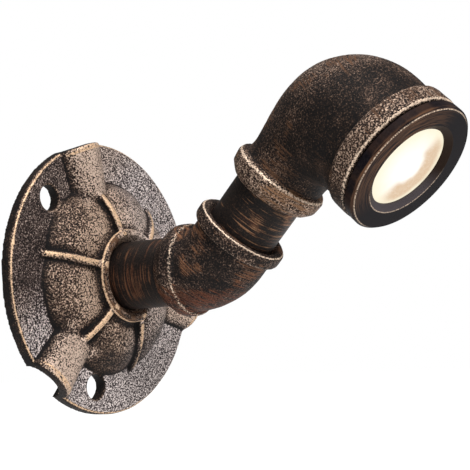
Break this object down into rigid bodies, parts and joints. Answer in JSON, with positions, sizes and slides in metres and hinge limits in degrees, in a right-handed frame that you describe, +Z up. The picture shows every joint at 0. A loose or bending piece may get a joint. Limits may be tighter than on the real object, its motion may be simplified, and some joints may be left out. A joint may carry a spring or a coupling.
{
  "type": "wall light",
  "caption": "Wall spotlight made of cast pipe fittings: round floor flange, angled pipe arm with an elbow, and a reducing elbow head with a recessed lamp behind a ring bezel.",
  "frame": {"origin": "centre of the flange's back, on the wall plane", "axes": "-Y out of the wall into the room, +Z up, +X to the right seen from the room"},
  "size_m": [0.0868, 0.1268, 0.0986],
  "materials": {
    "cast_flange": "sand-cast malleable iron, black with a rubbed antique bronze finish",
    "pipe": "steel pipe, black paint brushed round with rust and bronze",
    "cast_elbow": "cast fitting, black-brown with rubbed rust-red patches",
    "cast_head": "cast fitting, black-brown with bronze speckle",
    "bezel": "turned ring, near-black with rubbed bronze edges",
    "lens": "frosted glass, lit warm white",
    "gasket": "silicone ring",
    "reflector": "bright metallised cup",
    "led_chip": "yellow phosphor on a white carrier",
    "led_board": "white-masked metal-core board",
    "screw": "zinc-plated steel",
    "thermal_pad": "soft grey pad",
    "heat_sink": "turned and slotted aluminium",
    "insulator": "insulating film disc",
    "circuit_board": "green glass-fibre board",
    "ferrite": "ferrite drum",
    "capacitor": "sleeved can",
    "rectifier": "moulded case",
    "lead_sheath": "black flexible sheath",
    "lead_red": "red insulation",
    "lead_black": "black insulation",
    "bush": "black nylon",
    "cable_tie": "natural nylon",
    "earth_tag": "plated brass"
  },
  "bodies": {
    "wall_mount": {"wall_flange": "cast_flange", "wall_nipple": "pipe", "inlet_bush": "bush", "strain_tie": "cable_tie", "earth_screw": "screw", "earth_tag": "earth_tag", "supply_lead_wall": "lead_sheath"},
    "arm": {"elbow_45": "cast_elbow", "arm_nipple": "pipe", "supply_lead_arm": "lead_sheath"},
    "head": {"head_elbow": "cast_head", "bezel_ring": "bezel", "lens": "lens", "lens_gasket": "gasket", "reflector": "reflector", "led_chip": "led_chip", "led_board": "led_board", "board_screws": "screw", "thermal_pad": "thermal_pad", "heat_sink": "heat_sink", "insulator": "insulator", "driver_board": "circuit_board", "driver_inductor": "ferrite", "driver_capacitor": "capacitor", "driver_rectifier": "rectifier", "supply_lead_head": "lead_sheath", "led_lead_positive": "lead_red", "led_lead_negative": "lead_black"}
  },
  "joints": [
    {"name": "arm_swivel", "type": "hinge", "parent": "wall_mount", "child": "arm", "pos_m": [0, -0.046, 0], "axis": [0, -1, 0], "range_deg": [-170, 170]},
    {"name": "head_swivel", "type": "hinge", "parent": "arm", "child": "head", "pos_m": [0, -0.046, 0], "axis": [0, -0.7071, 0.7071], "range_deg": [-170, 170]}
  ]
}
